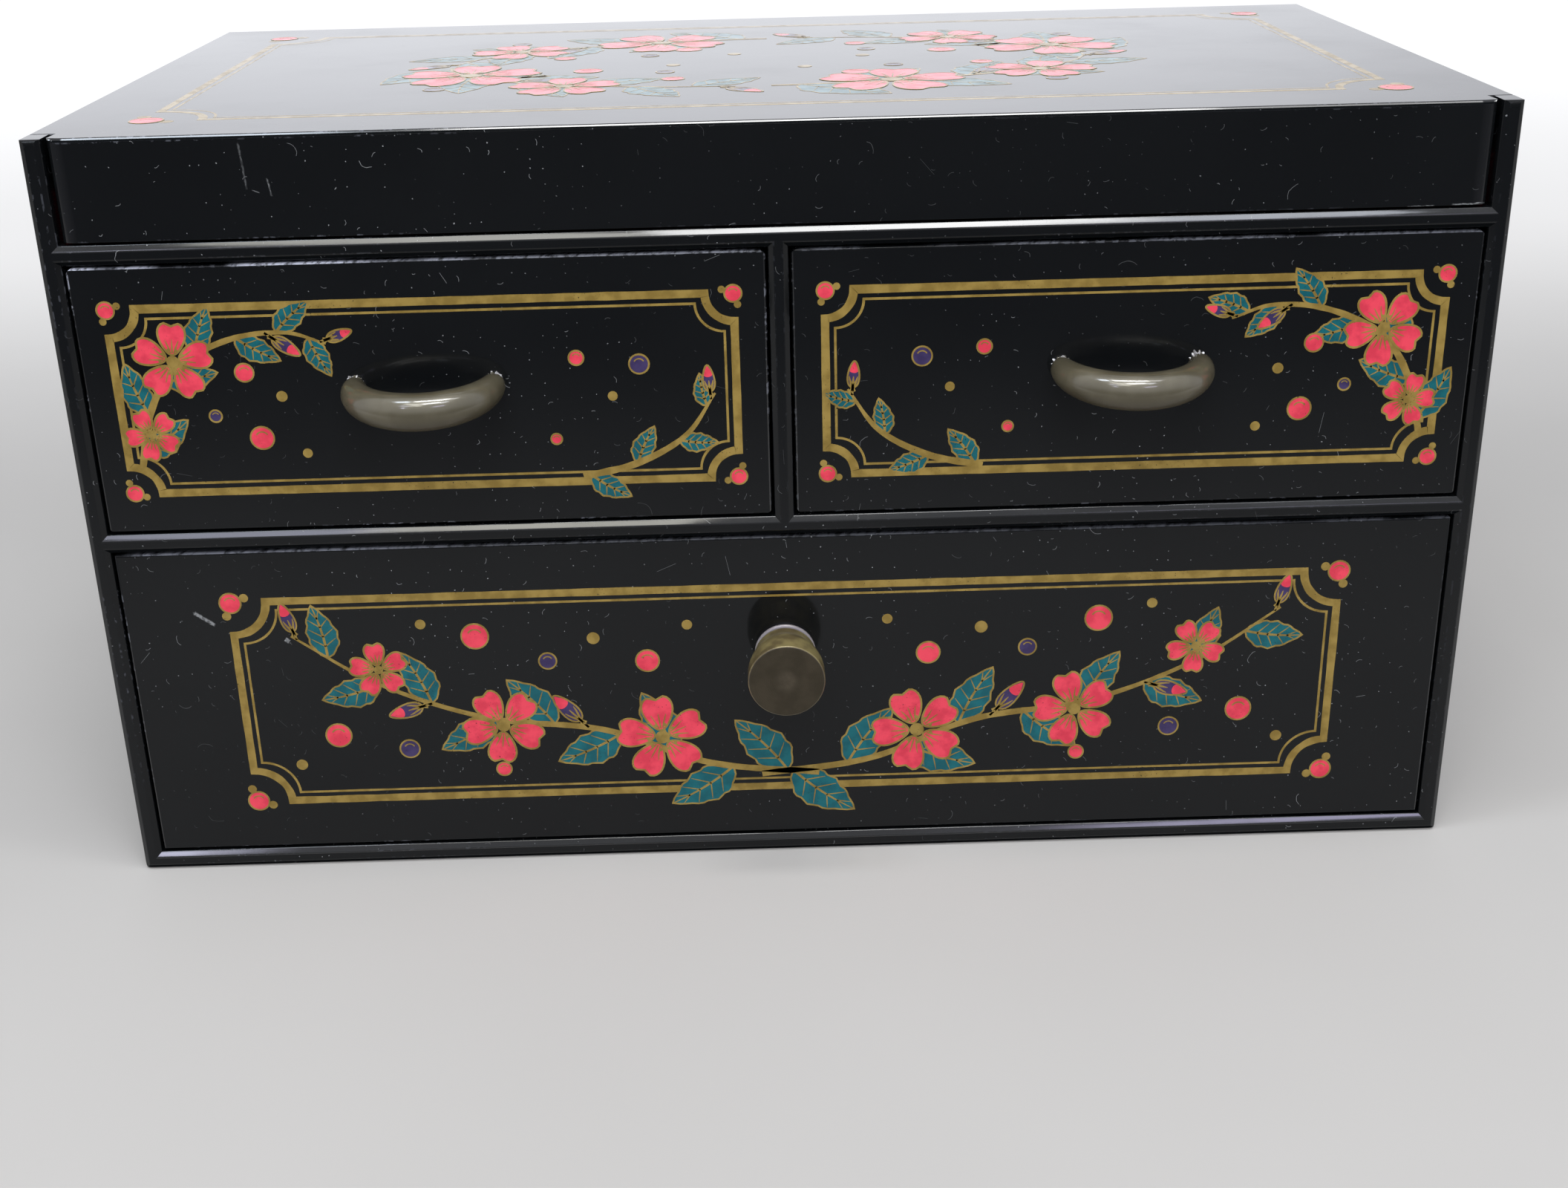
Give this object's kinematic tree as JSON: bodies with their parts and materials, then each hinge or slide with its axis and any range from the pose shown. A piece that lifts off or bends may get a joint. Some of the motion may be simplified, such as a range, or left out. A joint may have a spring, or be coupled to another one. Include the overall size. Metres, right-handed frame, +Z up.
{
  "type": "jewellery box with drawers",
  "caption": "Black-lacquered jewellery box with a lift-up lid, small upper drawers with arched pulls and a wide lower drawer with a turned knob.",
  "frame": {"origin": "middle of the underside of the base, half way between the front ridge and the back", "axes": "+X to the right seen from the front, +Y to the back, +Z up"},
  "size_m": [0.23, 0.1489, 0.128],
  "materials": {
    "lacquer": "gloss black lacquer, worn at the edges",
    "satin_black": "satin black paint",
    "bronze": "dark bronzed brass, softly polished",
    "brass": "satin brass",
    "velvet": "deep red velvet",
    "mirror_glass": "silvered mirror",
    "gold_print": "olive gold printed line",
    "coral_print": "coral pink print",
    "teal_print": "teal print",
    "violet_print": "violet print"
  },
  "bodies": {
    "case": {"side_left": "lacquer", "side_right": "lacquer", "back_panel": "lacquer", "base_panel": "lacquer", "middle_shelf": "lacquer", "upper_shelf": "lacquer", "drawer_divider": "lacquer", "tray_lining": "velvet", "tray_front_wall": "velvet", "tray_back_wall": "velvet", "ring_divider": "velvet", "tray_divider": "velvet", "ring_rolls": "velvet", "hinge_case_leaf_left": "brass", "hinge_case_leaf_right": "brass", "hinge_pin_left": "brass", "hinge_pin_right": "brass", "hinge_case_screws": "brass"},
    "lid": {"lid_top": "lacquer", "lid_fascia": "lacquer", "lid_rear_rim": "lacquer", "lid_lining": "velvet", "lid_mirror": "mirror_glass", "mirror_frame": "lacquer", "hinge_lid_leaf_left": "brass", "hinge_lid_leaf_right": "brass", "hinge_lid_screws": "brass"},
    "left_drawer": {"left_drawer_front": "lacquer", "left_drawer_side_left": "satin_black", "left_drawer_side_right": "satin_black", "left_drawer_back": "satin_black", "left_drawer_bottom": "satin_black", "left_drawer_lining": "velvet", "left_pull": "bronze", "left_pull_nuts": "brass"},
    "right_drawer": {"right_drawer_front": "lacquer", "right_drawer_side_left": "satin_black", "right_drawer_side_right": "satin_black", "right_drawer_back": "satin_black", "right_drawer_bottom": "satin_black", "right_drawer_lining": "velvet", "right_pull": "bronze", "right_pull_nuts": "brass"},
    "lower_drawer": {"lower_drawer_front": "lacquer", "lower_drawer_side_left": "satin_black", "lower_drawer_side_right": "satin_black", "lower_drawer_back": "satin_black", "lower_drawer_bottom": "satin_black", "lower_drawer_lining": "velvet", "knob": "bronze", "knob_screw": "brass"}
  },
  "joints": [
    {"name": "lid_hinge", "type": "hinge", "parent": "case", "child": "lid", "pos_m": [0, 0.0679, 0.1118], "axis": [-1, 0, 0], "range_deg": [0, 100]},
    {"name": "left_drawer_slide", "type": "slide", "parent": "case", "child": "left_drawer", "axis": [0, -1, 0], "range_m": [0, 0.085]},
    {"name": "right_drawer_slide", "type": "slide", "parent": "case", "child": "right_drawer", "axis": [0, -1, 0], "range_m": [0, 0.085]},
    {"name": "lower_drawer_slide", "type": "slide", "parent": "case", "child": "lower_drawer", "axis": [0, -1, 0], "range_m": [0, 0.085]}
  ]
}
